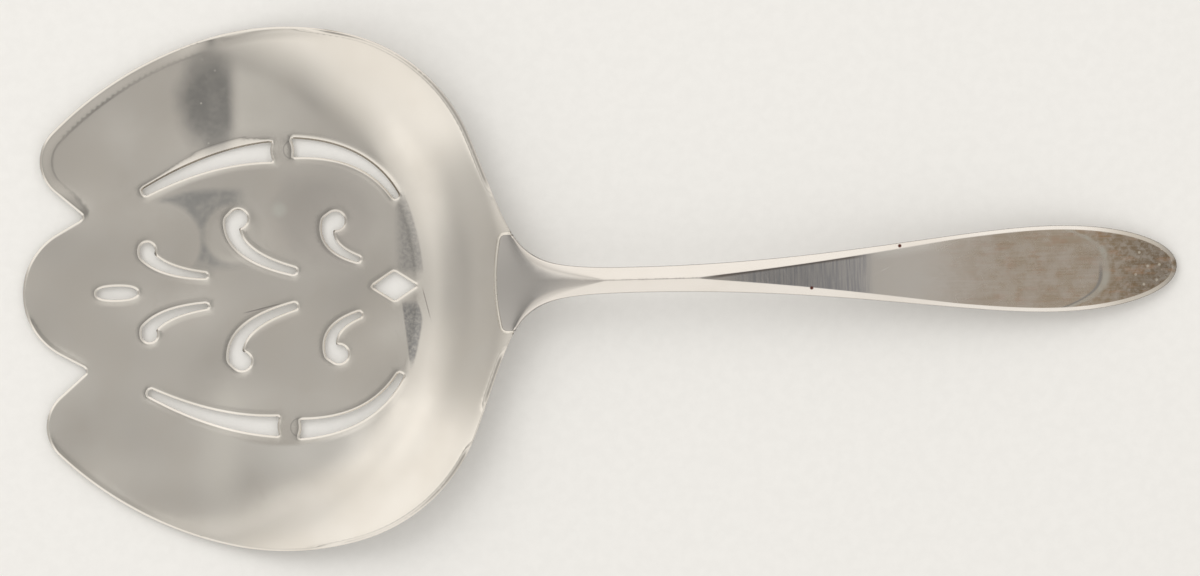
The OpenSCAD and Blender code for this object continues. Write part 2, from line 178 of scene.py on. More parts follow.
# The slant filed outside the upper slots: its width, slope and softness, then the share of that width at the
# front slot's tail and head and at the rear slot, and where it changes
CRESCENT_W = 1.15
CRESCENT_SLOPE = 0.32
CRESCENT_SOFT = 0.08
CRESCENT_TAIL, CRESCENT_TAIL_X = 0.25, (-13.0, -5.0)
CRESCENT_HEAD, CRESCENT_HEAD_X = 0.3, (-3.0, 1.5)
CRESCENT_REAR = 0.42
CRESCENT_Y = (9.0, 12.0)
CRESCENT_FACING = (0.3, 0.9)
# Softness of the pierced outlines' corners, and of the line where the handle's bevel starts, on the shoulder
# and further on
PIERCED_SOFT = 0.12
BEVEL_SOFT = (0.8, 0.04)
# The solder line's rise over the metal beside it, its lap, the depth of its sides as a share of its rise, the
# reach and slope of its ends, and the height of its foot over the sheet's lower face
BEAD_RISE = 0.05
BEAD_LAP = 0.04
BEAD_SIDES = 1.6
BEAD_END = 0.05
BEAD_END_SLOPE = 0.3
BEAD_FOOT = 0.05
# The solder film's lap past the tongue, its gap to the sheet, and its thickness at the edge
FILM_LAP = 0.12
FILM_GAP = 0.002
FILM_EDGE = 0.02
# Softness of the bend between floor and wall at the back and the upper and lower sides, where it changes round
# the dish and across it, then the softness of the crest at the lip and where that takes over
BEND_SOFT = (0.35, 1.3, 3.3)
BEND_TURN = (26.0, 42.0)
BEND_Y = (-12.0, 0.0)
CREST_SOFT = 1.2
CREST_R = (FLOOR_R + 2, LIP_R - 3)
# Faint waves in the sheet: radians per millimetre along X and Y, phase and height
WAVES = [(0.31, 0.12, 0.4, 0.028), (-0.18, 0.35, 1.9, 0.024), (0.52, -0.33, 3.1, 0.01), (0.09, 0.61, 5.2, 0.01)]
# A shallow dent round the upper middle scroll: centre, inner and outer radius, depth, and where it ends
DENT = ((-3.3, 6.8), 2.4, 4.0, 0.02)
DENT_X = (4.0, -1.0)

# Spacing of mesh points
RIM_STEP = 0.4
PIERCED_STEP = 0.24
OPEN_STEP = 0.8
TONGUE_STEPS = (0.25, 0.5)
SOLDER_STEP = 0.2
SPINE_STEP = 0.5
# Distances of lines of points from the edges. Lines further in than SPARSE_FROM have half the points
RINGS = (0.014, 0.05, 0.11, 0.2, 0.31, 0.4, 0.48, 0.56, 0.7, 0.95, 1.3, 1.7)
HANDLE_RINGS = (0.02, 0.06, 0.14, 0.26)
TONGUE_RINGS = (0.03, 0.1, 0.2, 0.3)
FILM_RINGS = (0.03, 0.08)
SOLDER_RINGS = (0.03, 0.07, 0.12)
SPARSE_FROM = 0.5
# Points tested at a time
CHUNK = 4000
# Lines of points beside the handle's bevel line and the bends in the bowl
BEVEL_LINES = (-0.3, -0.13, -0.05, 0.0, 0.05, 0.13, 0.3, 0.55)
BEND_LINES = np.arange(-0.45, 0.5, 0.15)
BEND_ANGLES = np.arange(-100, 100, 1.2)
# A point beside an edge is kept if no other edge is nearer than this share of its distance
OWN_SHARE = 0.97
# Room round open points, bend lines and bevel lines
OPEN_CLEAR = 0.3
BEND_CLEAR = 0.25
LINES_CLEAR = 0.02
# Step for slopes, step and reach of the dish's section, steps in its blur and in a softness, and tolerances
SLOPE_STEP = 0.004
SECTION_STEP = 0.02
SECTION_REACH = 48
BLUR_STEPS = 240
SOFT_STEPS = 4
MERGE_TOL = 1e-6
PLATE_TOL = 1e-5

# Centre and radius of two rounds left out of the bowl's painted shade, and places of two pits in the handle
SHADE_FREE_ROUNDS = (((-12.1, 6.0), 4.75), ((-3.3, 6.8), 3.42))
PITS = ((77.4, 3.26), (66.6, -1.55))

# The dome: levels by angle off the zenith, its tint, and gaps with their depth, compass direction, half width
# inside and out, and angles off the zenith where they start and end. A negative depth is a brighter place
DOME_LEVELS = [
    (0, 0.55), (3, 0.55), (10, 0.54), (16, 0.585), (22, 0.67), (28, 0.76), (34, 0.88), (42, 1.0), (50, 1.06),
    (62, 1.12), (76, 1.12), (90, 1.0), (97, 0.5), (112, 0.36), (130, 0.62), (150, 0.74), (180, 0.6),
]
DOME_TINT = np.array([1, 0.97, 0.925])
DOME_GAPS = [
    (0.5, 180, 0, 24, (25, 42), (48, 62)),
    (0.48, 180, 12, 31, (42, 60), (95, 100)),
    (0.17, 180, 8, 18, (12, 17), (27, 31)),
    (-0.28, 202, 8, 22, (14, 22), (36, 50)),
    (-0.3, 154, 8, 22, (12, 18), (36, 50)),
    (-0.45, 138, 8, 24, (0.6, 4.5), (18, 34)),
    (0.5, 180, 14, 34, (2, 4), (8.5, 11.5)),
    (0.6, 0, 44, 70, (2.4, 4.4), (10, 14)),
    (0.6, 290, 14, 26, (3.4, 5.4), (10, 13)),
    (0.5, 64, 8, 20, (3.4, 5.4), (10, 13)),
    (-0.34, 94, 14, 50, (0.2, 1.8), (12, 20)),
    (0.08, 270, 20, 50, (45, 55), (75, 85)),
    (0.4, 0, 25, 65, (42, 60), (95, 100)),
    (-0.14, 176, 3, 9, (45.5, 48.5), (49, 52)),
]
# Floor and camera, in metres unless a name ends in MM
FLOOR_HALF = 6.0
FLOOR_Z = -0.02 * MM
PAPER_COLOURS = ((0.85, 0.85, 0.84), (0.87, 0.87, 0.86))
IMAGE_W_MM = 145.6
SENSOR_W_MM = 36.0
VIEW_CENTRE = (0.0410, -0.0009)
VIEW_TURN = -1.5
VIEW_DISTANCE = 2.0


def heading(degrees):
    a = np.radians(degrees)
    return np.stack([np.cos(a), np.sin(a)], axis=-1)


def mix(a, b, t):
    return a + (b - a) * t


def ease(t):
    return t * t * (3 - 2 * t)


def part_of(x, low, high):
    return np.clip((x - low) / (high - low), 0, 1)


def smooth_step(x, low, high):
    return ease(part_of(x, low, high))


def window(x, rise, fall):
    return smooth_step(x, *rise) * smooth_step(x, *fall)


def sweep(a, slope_a, b, slope_b, span, t):
    return a * (1 - ease(t)) + b * ease(t) + span * t * (1 - t) * (slope_a * (1 - t) - slope_b * t)


def arc(centre, r, start, end, step=0.1):
    count = max(3, math.ceil(abs(math.radians(end - start)) * r / step))
    return np.asarray(centre) + r * heading(np.linspace(start, end, count + 1))


def curve(points, t):
    level = [np.asarray(p, float) for p in points]
    t = np.asarray(t, float).reshape(-1, 1)
    while len(level) > 1:
        level = [mix(a, b, t) for a, b in zip(level, level[1:])]
    return level[0]


def unit(vectors):
    return vectors / np.linalg.norm(vectors, axis=-1, keepdims=True)


def left_of(along):
    return unit(np.stack([-along[:, 1], along[:, 0]], axis=1))


def mirrored(points):
    return points[::-1] * np.array([1, -1])


def meeting(a, da, b, db):
    e = b - a
    return a + da * (e[0] * db[1] - e[1] * db[0]) / (da[0] * db[1] - da[1] * db[0])


def rounded(a, v, b, r, count=9):
    ua, ub = unit(a - v), unit(b - v)
    half = math.acos(ua @ ub) / 2
    centre = v + unit(ua + ub) * r / math.sin(half)
    chord = mix(ua, ub, np.linspace(0, 1, count)[:, None]) * r / math.tan(half) + v
    return centre + r * unit(chord - centre)


def resampled(points, step, closed):
    """The same line with even spacing, its ends kept."""
    line = np.vstack([points, points[:1]]) if closed else np.asarray(points)
    s = np.concatenate([[0], np.cumsum(np.linalg.norm(np.diff(line, axis=0), axis=1))])
    count = max(2, round(s[-1] / step))
    at = np.linspace(0, s[-1], count + 1)
    even = np.stack([np.interp(at, s, line[:, k]) for k in (0, 1)], axis=1)
    return even[:-1] if closed else even


def softened(loop, step, soft):
    """A closed line with its corners eased, as a saw and file leave them."""
    fine = resampled(loop, soft / SOFT_STEPS, True)
    reach = np.arange(-3 * SOFT_STEPS, 3 * SOFT_STEPS + 1)
    weight = np.exp(-0.5 * (reach / SOFT_STEPS) ** 2)
    weight /= weight.sum()
    eased = sum(w * np.roll(fine, k, axis=0) for k, w in zip(reach, weight))
    return resampled(eased, step, True)


# The bowl's form

WALL_AT = (
    FLOOR_R - WALL_R * math.sin(math.radians(WALL_ANGLE)),
    SHEET_T + WALL_R * math.cos(math.radians(WALL_ANGLE)),
)


def dish_section(bend_soft):
    """Radius about the dish's axis, and the heights of the upper and the lower face there."""
    r = np.arange(0, SECTION_REACH, SECTION_STEP)
    lean = np.arcsin(np.clip((r - WALL_AT[0]) / WALL_R, 0, 0.95))
    lip = math.tan(math.radians(LIP_ANGLE))
    rising = np.where(r < FLOOR_R, 0, np.where(r < LIP_R, np.tan(lean), lip))
    padded = np.pad(rising, BLUR_STEPS, mode="edge")
    reach = np.arange(-BLUR_STEPS, BLUR_STEPS + 1) * SECTION_STEP
    eased = []
    for soft in (bend_soft, CREST_SOFT):
        weight = np.exp(-0.5 * (reach / soft) ** 2)
        eased.append(np.convolve(padded, weight / weight.sum(), mode="valid"))
    slope = mix(*eased, smooth_step(r, *CREST_R))
    top = SHEET_T + np.concatenate([[0], np.cumsum((slope[1:] + slope[:-1]) / 2 * SECTION_STEP)])
    lean = np.arctan(slope)
    under = np.interp(r, r + SHEET_T * np.sin(lean), top - SHEET_T * np.cos(lean))
    return r, top, under


SECTIONS = [dish_section(soft) for soft in BEND_SOFT]


def dish_radius(xy):
    return np.hypot(xy[:, 0] - DISH_X, xy[:, 1])


def dish_face(xy, face):
    """Height of the dish's upper or lower face, whose bend is crisp at the back and soft at the sides."""
    crisp, upper, lower = (np.interp(dish_radius(xy), section[0], section[face]) for section in SECTIONS)
    turn = np.degrees(np.abs(np.arctan2(xy[:, 1], xy[:, 0] - DISH_X)))
    soft = mix(lower, upper, smooth_step(xy[:, 1], *BEND_Y))
    return mix(crisp, soft, smooth_step(turn, *BEND_TURN))


def dish_top(xy):
    return dish_face(xy, 1)


def dish_under(xy):
    return dish_face(xy, 2)


def hammered(xy):
    """The faint waves that raising and polishing leave in the sheet, and one dent."""
    x, y = xy[:, 0], xy[:, 1]
    centre, inner, outer, depth = DENT
    dent = depth * smooth_step(np.hypot(x - centre[0], y - centre[1]), outer, inner) * smooth_step(x, *DENT_X)
    return -dent + sum(height * np.sin(kx * x + ky * y + phase) for kx, ky, phase, height in WAVES)


# The handle's form


def neck_line():
    shoulder_at = CROWN_AT + (CROWN_R - SHOULDER_R) * heading(SHOULDER_FROM)
    start = shoulder_at + SHOULDER_R * heading(NECK_FROM)
    pulled = start + NECK_PULL * heading(NECK_FROM - 90)
    points = [start, pulled, [STEM_X - STEM_PULL, STEM_HALF], [STEM_X, STEM_HALF]]
    return curve(points, np.linspace(0, 1, 400))


def handle_side():
    """The handle's upper edge in plan from the seat's corner to the tip."""
    neck = neck_line()
    neck = neck[neck[:, 1] < SEAT_HALF - SEAM_GAP]
    stem_pulled, blade_pulled = STEM_X + BLADE_PULL[0], BLADE_X - BLADE_PULL[1]
    points = [[STEM_X, STEM_HALF], [stem_pulled, STEM_HALF], [blade_pulled, BLADE_HALF], [BLADE_X, BLADE_HALF]]
    blade = curve(points, np.linspace(0, 1, 400))
    q = np.sin(np.radians(np.linspace(0, 90, 200)))
    tip_half = BLADE_HALF * np.clip(1 - q**TIP_POWER, 0, 1) ** (1 / TIP_POWER)
    tip = np.stack([mix(BLADE_X, TIP_REACH, q), tip_half], axis=1)
    return np.vstack([neck, blade[1:], tip[1:]])


HANDLE_SIDE = handle_side()
NECK_Z = dish_top(np.array([[SEAM_X, 0.0]]))[0]


def half_width(x):
    return np.interp(x, HANDLE_SIDE[:, 0], HANDLE_SIDE[:, 1], left=SEAT_HALF - SEAM_GAP)


def seam_rise(y):
    """Height of the bowl's back edge over its middle, which the shoulder carries on."""
    at = np.stack([np.full_like(y, SEAM_X), y], axis=1)
    return dish_top(at) - NECK_Z


def arch(x):
    up = sweep(NECK_Z, NECK_SLOPE, CREST_Z, 0, CREST_X - SEAM_X, part_of(x, SEAM_X, CREST_X))
    down = sweep(CREST_Z, 0, TIP_T, TIP_SLOPE, TIP_REACH - CREST_X, part_of(x, CREST_X, TIP_REACH))
    return np.where(x < CREST_X, up, down)


def thickness(x):
    shoulder = mix(SHOULDER_T, STEM_T, smooth_step(x, SEAM_X, STEM_X))
    return np.where(x < STEM_X, shoulder, mix(STEM_T, TIP_T, smooth_step(x, STEM_X, TIP_REACH)))


def bevel_width(x):
    shoulder = EDGE_BEVEL * smooth_step(x, SEAM_X + SEAM_GAP, SHOULDER_X)
    grow = mix(shoulder, RIDGE_BEVEL, part_of(x, WIDENING_X, RIDGE_X[0]) ** 2)
    shrink = mix(RIDGE_BEVEL, EDGE_BEVEL, part_of(x, RIDGE_X[1], FLAT_X) ** BEVEL_POWER)
    width = np.where(x < RIDGE_X[0], grow, shrink)
    return np.where(x < BLADE_X, np.minimum(width, half_width(x) - RIDGE_HALF), width)


def handle_top(xy):
    saddle = 1 - smooth_step(xy[:, 0], SEAM_X, RIDGE_X[0])
    return arch(xy[:, 0]) + saddle * seam_rise(xy[:, 1])


def handle_under(xy):
    x, y = xy[:, 0], xy[:, 1]
    half = np.maximum(half_width(x), RIDGE_HALF)
    flat = np.stack([x, np.maximum(half - bevel_width(x), RIDGE_HALF)], axis=1)
    edge = handle_top(flat) - math.tan(math.radians(BEVEL_ANGLE)) * np.minimum(bevel_width(x), half)
    return mix(arch(x) - thickness(x), edge - EDGE_H, np.minimum(np.abs(y) / half, 1) ** 2)


def bevel_drop(xy, d):
    over = bevel_width(xy[:, 0]) - d
    soft = mix(*BEVEL_SOFT, smooth_step(xy[:, 0], SHOULDER_X, RIDGE_X[0]))
    soft = soft * part_of(xy[:, 0], SEAM_X, SHOULDER_X)
    return math.tan(math.radians(BEVEL_ANGLE)) * soft_ramp(over, soft)


def round_drop(d, size):
    """Depth of a quarter-round edge at distance d from it."""
    width, depth = size
    near = 1 - np.minimum(d, width) / width
    return depth * (1 - np.sqrt(np.maximum(1 - near * near, 0)))


def roll_drop(d, size):
    """Depth of the gentle roll beside an edge."""
    width, depth = size
    return depth * (1 - np.minimum(d, width) / width) ** 2


def soft_ramp(over, soft):
    """Rises with slope 1 above 0, and with a soft start."""
    return (over + np.sqrt(over * over + soft**2)) / 2


def chamfer_drop(d):
    """Depth of the small polished slant along the bowl's front and pierced edges."""
    width, slope, soft = BOWL_TOP_CHAMFER
    return slope * soft_ramp(width - d, soft)


def burnished(d):
    """How far a point lies in the burnished line along an edge."""
    return soft_ramp(BURNISH_W - d, BURNISH_SOFT)


def back_edge(y, d):
    """Depth of the edge along the back, which is filed away near the neck and over one stretch below it."""
    lower = smooth_step(-y, *LOWER_EDGE_Y) * (1 - window(-y, *FILED_Y))
    square = np.where(y > 0, smooth_step(y, *UPPER_EDGE_Y), lower)
    slant = soft_ramp(EDGE_W - d, EDGE_SOFT) - burnished(d)
    return square * EDGE_SLOPE * slant + BURNISH_SLOPE * burnished(d)


def curl(y, d):
    """How far the front lobes' rims are turned up."""
    (notch_w, lobe_w), angle, soft = UPPER_CURL
    upper_w = mix(notch_w, lobe_w, smooth_step(y, *UPPER_CURL_WIDENS_Y))
    upper = (upper_w, angle, soft, smooth_step(y, *UPPER_CURL_Y))
    lower = (*LOWER_CURL, smooth_step(-y, *LOWER_CURL_Y))
    middle = (*MIDDLE_CURL, window(-y, *MIDDLE_CURL_Y))
    turned = 0
    for width, angle, soft, strength in (upper, lower, middle):
        turned += strength * math.tan(math.radians(angle)) * soft_ramp(width - d, soft)
    return turned


def rim_finish(xy, d):
    """Change of height beside the rim: turned up in front, rolled at the upper side, square at the back."""
    x, y = xy[:, 0], xy[:, 1]
    turned = smooth_step(x, *TURNED_X)
    rolled = window(x, *ROLLED_X) * smooth_step(y, *ROLLED_Y)
    edge = mix(chamfer_drop(d), back_edge(y, d), smooth_step(x, *SQUARE_X))
    return turned * curl(y, d) - rolled * roll_drop(d, SIDE_ROLL) - edge


def crescent(loop):
    """Share of the slant's width at each point of a pierced edge. Only the upper slots have one, outside."""
    along = np.roll(loop, -1, axis=0) - np.roll(loop, 1, axis=0)
    facing = smooth_step(np.sum(left_of(along) * unit(loop), axis=1), *CRESCENT_FACING)
    x = loop[:, 0]
    tail = mix(CRESCENT_TAIL, 1, smooth_step(x, *CRESCENT_TAIL_X))
    head = mix(1, CRESCENT_HEAD, smooth_step(x, *CRESCENT_HEAD_X))
    strength = np.where(x < BEAD_AT[0], tail * head, CRESCENT_REAR)
    return facing * smooth_step(loop[:, 1], *CRESCENT_Y) * strength


# Outlines in plan, with the metal on the left of each line


def bowl_rim():
    """Half of the bowl's rim, from the front lip to the tip of the horn beside the handle."""
    lobe = arc([MIDDLE_LOBE_R - FRONT_REACH, 0], MIDDLE_LOBE_R, 180, MIDDLE_LOBE_END)
    flank_at = CROWN_AT - (FLANK_R - CROWN_R) * heading(CROWN_FROM)
    side_at = flank_at + (FLANK_R - SIDE_LOBE_R) * heading(FLANK_FROM)
    corner = arc(side_at, SIDE_LOBE_R, SIDE_LOBE_END, FLANK_FROM)
    notch = meeting(lobe[-1], heading(MIDDLE_LOBE_END - 90), corner[0], heading(SIDE_LOBE_END + 90))
    shoulder_at = CROWN_AT + (CROWN_R - SHOULDER_R) * heading(SHOULDER_FROM)
    neck = neck_line()
    above = neck[neck[:, 1] > SEAT_HALF]
    below = neck[len(above)]
    t = (above[-1, 1] - SEAT_HALF) / (above[-1, 1] - below[1])
    front = [lobe, rounded(lobe[-1], notch, corner[0], NOTCH_R), corner]
    flank = arc(flank_at, FLANK_R, FLANK_FROM, CROWN_FROM)[1:]
    crown = arc(CROWN_AT, CROWN_R, CROWN_FROM, SHOULDER_FROM)[1:]
    shoulder = arc(shoulder_at, SHOULDER_R, SHOULDER_FROM, NECK_FROM)[1:]
    return np.vstack([*front, flank, crown, shoulder, above[1:], mix(above[-1], below, t)])


def seat_line(margin, end_x):
    """The seat in the bowl's back edge, from its lower to its upper end, drawn in by a margin."""
    corner_y = SEAT_HALF - SEAT_R
    corner_x = SEAM_X + SEAM_R - math.sqrt((SEAM_R - SEAT_R) ** 2 - corner_y**2)
    turn = 180 - math.degrees(math.asin(corner_y / (SEAM_R - SEAT_R)))
    bow = arc([SEAM_X + SEAM_R, 0], SEAM_R - margin, 180, turn)
    corner = arc([corner_x, corner_y], SEAT_R - margin, turn, 90)
    upper = np.vstack([bow, corner[1:], [[end_x, SEAT_HALF - margin]]])
    return np.vstack([mirrored(upper)[:-1], upper])


def band(line, width, round_head):
    t = np.linspace(0, 1, 80)
    middle = curve(line, t)
    along = curve(np.diff(np.asarray(line, float), axis=0), t)
    across = left_of(along)
    side = across * (mix(width[0], width[1], t) / 2)[:, None]
    turn = np.degrees(np.arctan2(across[:, 1], across[:, 0]))
    parts = [middle + side]
    if round_head:
        parts.append(arc(middle[-1], width[1] / 2, turn[-1], turn[-1] - 180)[1:-1])
    parts.append((middle - side)[::-1])
    cap = np.radians(np.arange(18, 180, 18))[:, None]
    backward = np.array([-side[0, 1], side[0, 0]])
    parts.append(middle[0] - side[0] * np.cos(cap) + TAIL_BULGE * backward * np.sin(cap))
    return np.vstack(parts)[::-1]


def merged(add, cut=()):
    """Outlines of the shapes in add, joined together, less those in cut."""
    points, faces = [], []
    for shape in [*add, *cut]:
        faces.append(list(range(len(points), len(points) + len(shape))))
        points += [Vector(p) for p in shape]
    verts, _, triangles, _, _, owners = geometry.delaunay_2d_cdt(points, [], faces, 1, MERGE_TOL, True)
    directed = set()
    for triangle, shapes in zip(triangles, owners):
        if shapes and max(shapes) < len(add):
            directed |= set(zip(triangle, [*triangle[1:], triangle[0]]))
    after = {a: b for a, b in directed if (b, a) not in directed}
    loops = []
    while after:
        start, at = after.popitem()
        loop = [start]
        while at != start:
            loop.append(at)
            at = after.pop(at)
        loops.append(np.array([verts[i] for i in loop]))
    return loops


def pierced_loops():
    """Outlines of all the piercings, with the metal on the left."""
    bridge = BEAD_AT + np.array([[-1, -2], [1, -2], [1, 2], [-1, 2]]) * [BRIDGE_W / 2, BEAD_HALF[0]]
    bead = BEAD_AT + heading(np.linspace(0, 360, 96)[:-1]) * BEAD_HALF
    side = merged([band(*FRONT_SLOT, False), band(*REAR_SLOT, False)], [bridge, bead])
    for line, width, bulb, bulb_r in SCROLLS:
        between_at = (np.array(line[2]) + bulb) / 2
        fill = arc(between_at, (width[1] / 2 + bulb_r) / 2, 0, 360)[:-1]
        side += merged([band(line, width, True), arc(bulb, bulb_r, 0, 360)[:-1], fill])
    d = heading(np.linspace(0, 360, 120)[:-1])
    oval = np.sign(d) * np.abs(d) ** (2 / OVAL_POWER) * OVAL_HALF + [OVAL_X, 0]
    diamond = np.array([[-1, 0], [0, -1], [1, 0], [0, 1]]) * DIAMOND_HALF + [DIAMOND_X, 0]
    loops = [*side, *[mirrored(loop) for loop in side], oval, diamond]
    return [softened(loop, PIERCED_STEP, PIERCED_SOFT)[::-1] for loop in loops]


class Edges:
    """The outlines of one flat pattern, and the distance from any point to the ones that are free."""

    def __init__(self, loops):
        """Each loop is a list of (line, free, roll) stretches that meet end to end."""
        lines, free, roll = zip(*[stretch for loop in loops for stretch in loop])
        counts = [len(line) for line in lines]
        self.points = np.vstack(lines)
        self.free = np.repeat(free, counts)
        self.roll = np.concatenate([np.broadcast_to(r, count) for r, count in zip(roll, counts)])
        ends = np.cumsum([sum(len(line) for line, _, _ in loop) for loop in loops])
        self.loops = np.split(np.arange(len(self.points)), ends[:-1])
        self.after = np.concatenate([np.roll(loop, -1) for loop in self.loops])
        self.before = np.argsort(self.after)
        self.inward = left_of(self.points[self.after] - self.points[self.before])

    def nearest(self, xy, only_free):
        """Distance, the direction away from the edge, and the edge point's number, for each point."""
        numbers = np.flatnonzero(self.free) if only_free else np.arange(len(self.points))
        tree = kdtree.KDTree(len(numbers))
        for i in numbers:
            tree.insert((*self.points[i], 0), int(i))
        tree.balance()
        near = np.array([tree.find((*p, 0))[1] for p in xy])
        best = np.linalg.norm(xy - self.points[near], axis=1)
        foot = self.points[near]
        for a, b in ((near, self.after[near]), (self.before[near], near)):
            pa, pb = self.points[a], self.points[b]
            usable = (self.free[a] & self.free[b]) | (not only_free)
            t = np.clip(np.sum((xy - pa) * (pb - pa), axis=1) / np.sum((pb - pa) ** 2, axis=1), 0, 1)
            q = pa + (pb - pa) * t[:, None]
            d = np.linalg.norm(xy - q, axis=1)
            closer = usable & (d < best)
            best = np.where(closer, d, best)
            foot = np.where(closer[:, None], q, foot)
        away = (xy - foot) / np.maximum(best, 1e-9)[:, None]
        on_edge = best < 1e-6
        away[on_edge] = self.inward[near[on_edge]]
        return best, away, near

    def inside(self, xy):
        found = np.zeros(len(xy), bool)
        for loop in self.loops:
            a, b = self.points[loop], self.points[np.roll(loop, -1)]
            for some in np.array_split(np.arange(len(xy)), math.ceil(len(xy) / CHUNK)):
                x, y = xy[some].T[:, :, None]
                spans = (a[:, 1] > y) != (b[:, 1] > y)
                rise = np.where(b[:, 1] == a[:, 1], 1, b[:, 1] - a[:, 1])
                hit = spans & (x < (b[:, 0] - a[:, 0]) * (y - a[:, 1]) / rise + a[:, 0])
                found[some] ^= hit.sum(axis=1) % 2 == 1
        return found


def open_grid(edges, step, clear):
    """Evenly spread points inside a pattern, kept clear of its edges."""
    low, high = edges.points.min(axis=0), edges.points.max(axis=0)
    rows = np.arange(low[1], high[1], step * math.sqrt(3) / 2)
    columns = np.arange(low[0], high[0], step)
    points = np.array([[x + step / 2 * (k % 2), y] for k, y in enumerate(rows) for x in columns])
    points = points[edges.inside(points)]
    return points[edges.nearest(points, False)[0] > clear]


def ring_points(edges, rings):
    """Points on lines that run beside the free edges."""
    out = []
    for k, d in enumerate(rings):
        numbers = np.flatnonzero(edges.free)
        if d > SPARSE_FROM:
            numbers = numbers[k % 2 :: 2]
        ring = edges.points[numbers] + d * edges.inward[numbers]
        out.append(ring[edges.nearest(ring, False)[0] > OWN_SHARE * d])
    points = np.vstack(out)
    return points[edges.inside(points)]


def placed(name, data):
    made = bpy.data.objects.new(name, data)
    bpy.context.scene.collection.objects.link(made)
    return made


def plate(name, edges, extra, top, under):
    """A closed mesh over a flat pattern. top and under turn points, distances and edge numbers into heights."""
    xy = np.vstack([edges.points, extra])
    faces = [edges.loops[0].tolist(), *[loop[::-1].tolist() for loop in edges.loops[1:]]]
    flat = [Vector(p) for p in xy]
    _, _, triangles, sources, _, owners = geometry.delaunay_2d_cdt(flat, [], faces, 1, PLATE_TOL, True)
    source = np.array([ids[0] for ids in sources])
    triangles = np.array([source[t] for t, loops in zip(triangles, owners) if list(loops) == [0]])
    used = np.unique(triangles)
    number = np.full(len(xy), -1)
    number[used] = np.arange(len(used))
    triangles = number[triangles]
    xy = xy[used]
    count = len(xy)
    d, away, near = edges.nearest(xy, True)
    rim = used < len(edges.points)
    on_free = np.zeros(count, bool)
    on_free[rim] = edges.free[used[rim]]
    away[on_free] = edges.inward[used[on_free]]
    d[on_free] = 0
    sides = []
    for face, sign in ((top, 1), (under, -1)):
        z = face(xy, d, near)
        shifts = SLOPE_STEP * np.eye(2)
        rises = [face(xy + shift, d, near) - face(xy - shift, d, near) for shift in shifts]
        slope = np.stack(rises, axis=1) / (2 * SLOPE_STEP)
        e = np.minimum(0.2 * d, SLOPE_STEP) + 1e-9
        slope += ((face(xy, d + e, near) - face(xy, d - e, near)) / (2 * e))[:, None] * away
        normal = np.column_stack([-slope, np.ones(count)]) * sign
        normal[on_free] = np.column_stack([-away[on_free], np.zeros(on_free.sum())])
        sides.append((z, unit(normal)))
    points = np.vstack([np.column_stack([xy, z]) for z, _ in sides])
    vertex_normals = np.vstack([normal for _, normal in sides])
    a, b = number[: len(edges.points)], number[edges.after]
    walls = np.stack([a, a + count, b + count, b], axis=1)
    wall_is_free = edges.free & edges.free[edges.after]
    polygons = [*triangles.tolist(), *(triangles[:, ::-1] + count).tolist(), *walls.tolist()]
    points = np.clip(points * MM, np.array(cad_low), np.array(cad_high))
    mesh = bpy.data.meshes.new(name)
    mesh.from_pydata(points.tolist(), [], polygons)
    mesh.polygons.foreach_set("use_smooth", [True] * len(polygons))
    corner_normals = []
    for k, polygon in enumerate(polygons):
        wall = k - 2 * len(triangles)
        if wall >= 0 and not wall_is_free[wall]:
            corner_normals += [tuple(mesh.polygons[k].normal)] * 4
        else:
            corner_normals += [tuple(vertex_normals[i]) for i in polygon]
    mesh.normals_split_custom_set(corner_normals)
    return placed(name, mesh)


# Materials


class Nodes:
    """Short ways to add nodes to one tree. Each input is a socket or a plain value."""

    def __init__(self, tree):
        self.tree = tree

    def join(self, value, socket):
        if isinstance(value, bpy.types.NodeSocket):
            self.tree.links.new(value, socket)
        else:
            socket.default_value = value

    def add(self, kind, inputs=None, **settings):
        made = self.tree.nodes.new(kind)
        for key, value in settings.items():
            setattr(made, key, value)
        for key, value in (inputs or {}).items():
            self.join(value, made.inputs[key])
        return made

    def maths(self, operation, *values):
        return self.add("ShaderNodeMath", dict(enumerate(values)), operation=operation).outputs[0]

    def plus(self, a, b):
        return self.maths("ADD", a, b)

    def minus(self, a, b):
        return self.maths("SUBTRACT", a, b)

    def most(self, a, b):
        return self.maths("MAXIMUM", a, b)

    def size(self, a):
        return self.maths("ABSOLUTE", a)

    def times(self, first, *others):
        for value in others:
            first = self.maths("MULTIPLY", first, value)
        return first

    def between(self, value, low, high, out_low=0.0, out_high=1.0):
        """A soft step from one level to another."""
        inputs = {"Value": value, "From Min": low, "From Max": high, "To Min": out_low, "To Max": out_high}
        return self.add("ShaderNodeMapRange", inputs, interpolation_type="SMOOTHSTEP").outputs[0]

    def fall(self, value, low, high, level=1.0):
        return self.between(value, low, high, level, 0.0)

    def span(self, value, a, b, *ends):
        """Rises softly between a and b, and falls again between two ends where they are given."""
        rising = self.between(value, a, b)
        return self.times(rising, self.fall(value, *ends)) if ends else rising

    def blend(self, factor, a, b):
        """One colour turning into another. Plain colours have three numbers."""
        a, b = ((*c, 1) if isinstance(c, tuple) else c for c in (a, b))
        return self.add("ShaderNodeMix", {0: factor, 6: a, 7: b}, data_type="RGBA").outputs[2]

    def parts(self, vector):
        return self.add("ShaderNodeSeparateXYZ", {0: vector}).outputs

    def noise(self, vector, scale, detail=2.0, rough=0.5):
        inputs = {"Vector": vector, "Scale": scale, "Detail": detail, "Roughness": rough}
        return self.add("ShaderNodeTexNoise", inputs).outputs[0]


